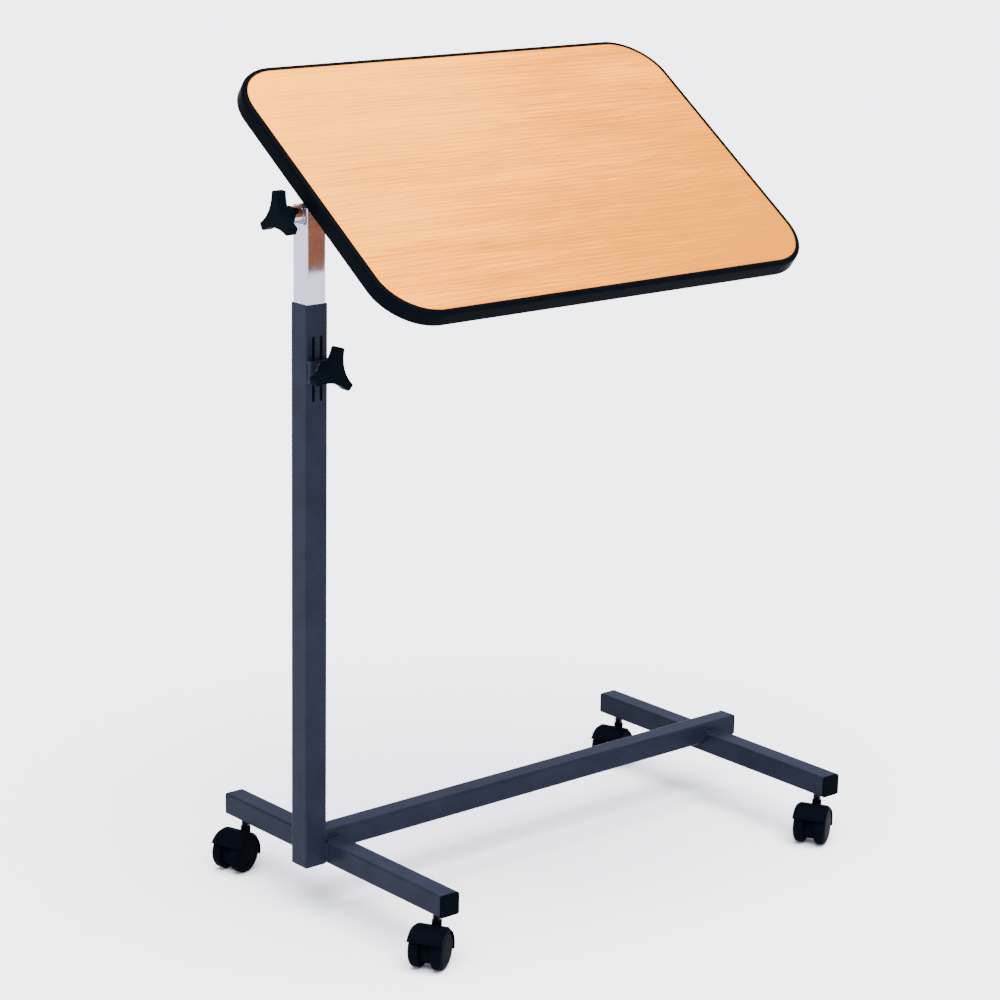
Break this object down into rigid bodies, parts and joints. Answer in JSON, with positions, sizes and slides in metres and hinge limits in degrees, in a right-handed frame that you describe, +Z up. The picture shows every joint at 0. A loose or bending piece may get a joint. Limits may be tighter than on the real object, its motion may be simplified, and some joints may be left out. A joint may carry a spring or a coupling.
{
  "type": "overbed table",
  "caption": "Height-adjustable overbed table: tilting laminate tabletop on a square telescopic side mast, H-shaped tube base on twin-wheel casters.",
  "frame": {"origin": "centre of the table's bounding box on the floor, with the tabletop tilted as it stands at rest", "axes": "+X along the base rail from the mast to the open side, +Y from the lower to the higher long edge of the tilted tabletop, +Z up"},
  "size_m": [0.6902, 0.4034, 0.911],
  "materials": {
    "frame_paint": "satin powder coat",
    "inner_mast_chrome": "polished",
    "spacer_chrome": "polished",
    "zinc_steel": "zinc plated",
    "black_steel": "black oxide",
    "pad_brass": "turned",
    "particle_board": "raw",
    "beech_laminate": "satin laminate",
    "backing_laminate": "matt laminate",
    "edge_moulding": "satin",
    "caster_plastic": "moulded",
    "wheel_plastic": "moulded",
    "knob_plastic": "moulded",
    "plug_plastic": "moulded"
  },
  "bodies": {
    "base": {"mast_crossbar": "frame_paint", "free_crossbar": "frame_paint", "base_rail": "frame_paint", "mast_crossbar_front_plug": "plug_plastic", "mast_crossbar_rear_plug": "plug_plastic", "free_crossbar_front_plug": "plug_plastic", "free_crossbar_rear_plug": "plug_plastic", "base_rail_plug": "plug_plastic", "outer_mast": "frame_paint", "outer_mast_plug": "plug_plastic", "clamp_bridge": "frame_paint", "clamp_nut": "zinc_steel", "caster_mast_front_pin": "black_steel", "caster_mast_front_socket": "zinc_steel", "caster_mast_rear_pin": "black_steel", "caster_mast_rear_socket": "zinc_steel", "caster_free_front_pin": "black_steel", "caster_free_front_socket": "zinc_steel", "caster_free_rear_pin": "black_steel", "caster_free_rear_socket": "zinc_steel"},
    "height_pad": {"pressure_pad": "pad_brass"},
    "height_knob": {"height_knob": "knob_plastic", "height_stud": "zinc_steel"},
    "inner_mast": {"inner_mast": "inner_mast_chrome", "inner_mast_top_plug": "plug_plastic", "inner_mast_foot_plug": "plug_plastic"},
    "tabletop": {"board_core": "particle_board", "top_laminate": "beech_laminate", "backing_laminate": "backing_laminate", "edge_moulding": "edge_moulding", "beam": "frame_paint", "beam_plug": "plug_plastic", "hinge_plate": "frame_paint", "tilt_nut": "zinc_steel", "friction_washer": "plug_plastic", "cross_rail_left": "frame_paint", "cross_rail_right": "frame_paint", "board_screws": "zinc_steel"},
    "tilt_spacer": {"tilt_spacer": "spacer_chrome"},
    "tilt_knob": {"tilt_knob": "knob_plastic", "tilt_stud": "zinc_steel"},
    "caster_mast_front": {"caster_mast_front_hood": "caster_plastic", "caster_mast_front_axle": "zinc_steel"},
    "caster_mast_front_wheel_left": {"caster_mast_front_wheel_left": "wheel_plastic"},
    "caster_mast_front_wheel_right": {"caster_mast_front_wheel_right": "wheel_plastic"},
    "caster_mast_rear": {"caster_mast_rear_hood": "caster_plastic", "caster_mast_rear_axle": "zinc_steel"},
    "caster_mast_rear_wheel_left": {"caster_mast_rear_wheel_left": "wheel_plastic"},
    "caster_mast_rear_wheel_right": {"caster_mast_rear_wheel_right": "wheel_plastic"},
    "caster_free_front": {"caster_free_front_hood": "caster_plastic", "caster_free_front_axle": "zinc_steel"},
    "caster_free_front_wheel_left": {"caster_free_front_wheel_left": "wheel_plastic"},
    "caster_free_front_wheel_right": {"caster_free_front_wheel_right": "wheel_plastic"},
    "caster_free_rear": {"caster_free_rear_hood": "caster_plastic", "caster_free_rear_axle": "zinc_steel"},
    "caster_free_rear_wheel_left": {"caster_free_rear_wheel_left": "wheel_plastic"},
    "caster_free_rear_wheel_right": {"caster_free_rear_wheel_right": "wheel_plastic"}
  },
  "joints": [
    {"name": "height_slide", "type": "slide", "parent": "base", "child": "inner_mast", "axis": [0, 0, 1], "range_m": [-0.06, 0.3]},
    {"name": "table_tilt", "type": "hinge", "parent": "inner_mast", "child": "tabletop", "pos_m": [-0.28545, 0.02417, 0.7764], "axis": [1, 0, 0], "range_deg": [-35.4, 24.6]},
    {"name": "height_pad_slide", "type": "slide", "parent": "base", "child": "height_pad", "axis": [0, -1, 0], "range_m": [0, 0.00125]},
    {"name": "height_knob_turn", "type": "hinge", "parent": "height_pad", "child": "height_knob", "pos_m": [-0.29945, 0.01017, 0.615], "axis": [0, -1, 0], "range_deg": [0, 360]},
    {"name": "tilt_spacer_slide", "type": "slide", "parent": "tabletop", "child": "tilt_spacer", "axis": [-1, 0, 0], "range_m": [0, 0.00125]},
    {"name": "tilt_knob_turn", "type": "hinge", "parent": "tilt_spacer", "child": "tilt_knob", "pos_m": [-0.31195, 0.02417, 0.7764], "axis": [-1, 0, 0], "range_deg": [0, 360]},
    {"name": "caster_mast_front_swivel", "type": "hinge", "parent": "base", "child": "caster_mast_front", "pos_m": [-0.27295, -0.16533, 0.057], "axis": [0, 0, 1], "continuous": true},
    {"name": "caster_mast_front_roll_left", "type": "hinge", "parent": "caster_mast_front", "child": "caster_mast_front_wheel_left", "pos_m": [-0.28984, -0.17508, 0.022], "axis": [-0.5, 0.866, 0], "continuous": true},
    {"name": "caster_mast_front_roll_right", "type": "hinge", "parent": "caster_mast_front", "child": "caster_mast_front_wheel_right", "pos_m": [-0.28984, -0.17508, 0.022], "axis": [-0.5, 0.866, 0], "continuous": true},
    {"name": "caster_mast_rear_swivel", "type": "hinge", "parent": "base", "child": "caster_mast_rear", "pos_m": [-0.27295, 0.17967, 0.057], "axis": [0, 0, 1], "continuous": true},
    {"name": "caster_mast_rear_roll_left", "type": "hinge", "parent": "caster_mast_rear", "child": "caster_mast_rear_wheel_left", "pos_m": [-0.29157, 0.17387, 0.022], "axis": [-0.2974, 0.9548, 0], "continuous": true},
    {"name": "caster_mast_rear_roll_right", "type": "hinge", "parent": "caster_mast_rear", "child": "caster_mast_rear_wheel_right", "pos_m": [-0.29157, 0.17387, 0.022], "axis": [-0.2974, 0.9548, 0], "continuous": true},
    {"name": "caster_free_front_swivel", "type": "hinge", "parent": "base", "child": "caster_free_front", "pos_m": [0.30705, -0.16533, 0.057], "axis": [0, 0, 1], "continuous": true},
    {"name": "caster_free_front_roll_left", "type": "hinge", "parent": "caster_free_front", "child": "caster_free_front_wheel_left", "pos_m": [0.29016, -0.17508, 0.022], "axis": [-0.5, 0.866, 0], "continuous": true},
    {"name": "caster_free_front_roll_right", "type": "hinge", "parent": "caster_free_front", "child": "caster_free_front_wheel_right", "pos_m": [0.29016, -0.17508, 0.022], "axis": [-0.5, 0.866, 0], "continuous": true},
    {"name": "caster_free_rear_swivel", "type": "hinge", "parent": "base", "child": "caster_free_rear", "pos_m": [0.30705, 0.17967, 0.057], "axis": [0, 0, 1], "continuous": true},
    {"name": "caster_free_rear_roll_left", "type": "hinge", "parent": "caster_free_rear", "child": "caster_free_rear_wheel_left", "pos_m": [0.28897, 0.17236, 0.022], "axis": [-0.3746, 0.9272, 0], "continuous": true},
    {"name": "caster_free_rear_roll_right", "type": "hinge", "parent": "caster_free_rear", "child": "caster_free_rear_wheel_right", "pos_m": [0.28897, 0.17236, 0.022], "axis": [-0.3746, 0.9272, 0], "continuous": true}
  ],
  "couplings": [
    {"joint": "height_knob_turn", "follows": "height_pad_slide", "rad_per_m": 5026.5},
    {"joint": "tilt_knob_turn", "follows": "tilt_spacer_slide", "rad_per_m": 5026.5}
  ]
}
